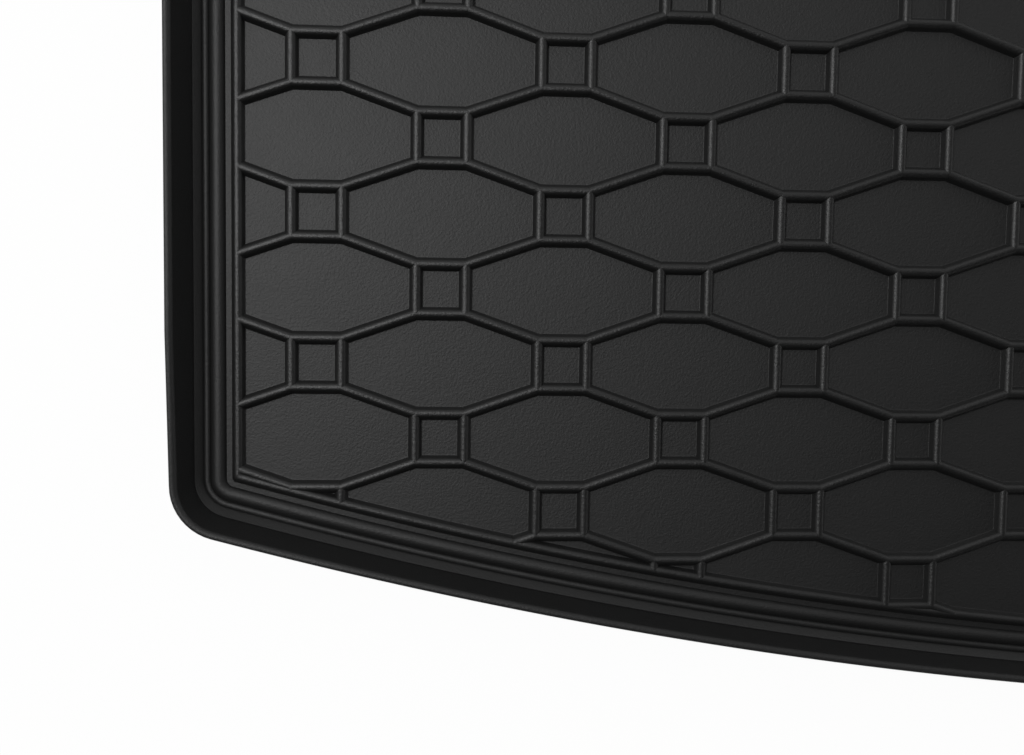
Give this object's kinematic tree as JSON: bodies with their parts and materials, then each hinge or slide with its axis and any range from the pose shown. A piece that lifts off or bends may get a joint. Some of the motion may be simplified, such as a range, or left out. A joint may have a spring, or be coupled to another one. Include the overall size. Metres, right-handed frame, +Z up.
{
  "type": "car boot liner",
  "caption": "Moulded boot tray with a low wall all round, a curved loading sill, a beaded ledge inside the wall and a floor ribbed in squares and long octagons.",
  "frame": {"origin": "on the boot floor, under the middle of the tray", "axes": "+X across the car, +Y towards the seats and away from the loading sill, +Z up"},
  "size_m": [1.0216, 0.7332, 0.023],
  "materials": {
    "black_plastic": "satin, very fine grain"
  },
  "bodies": {
    "root": {"liner_tray": "black_plastic"}
  },
  "joints": []
}
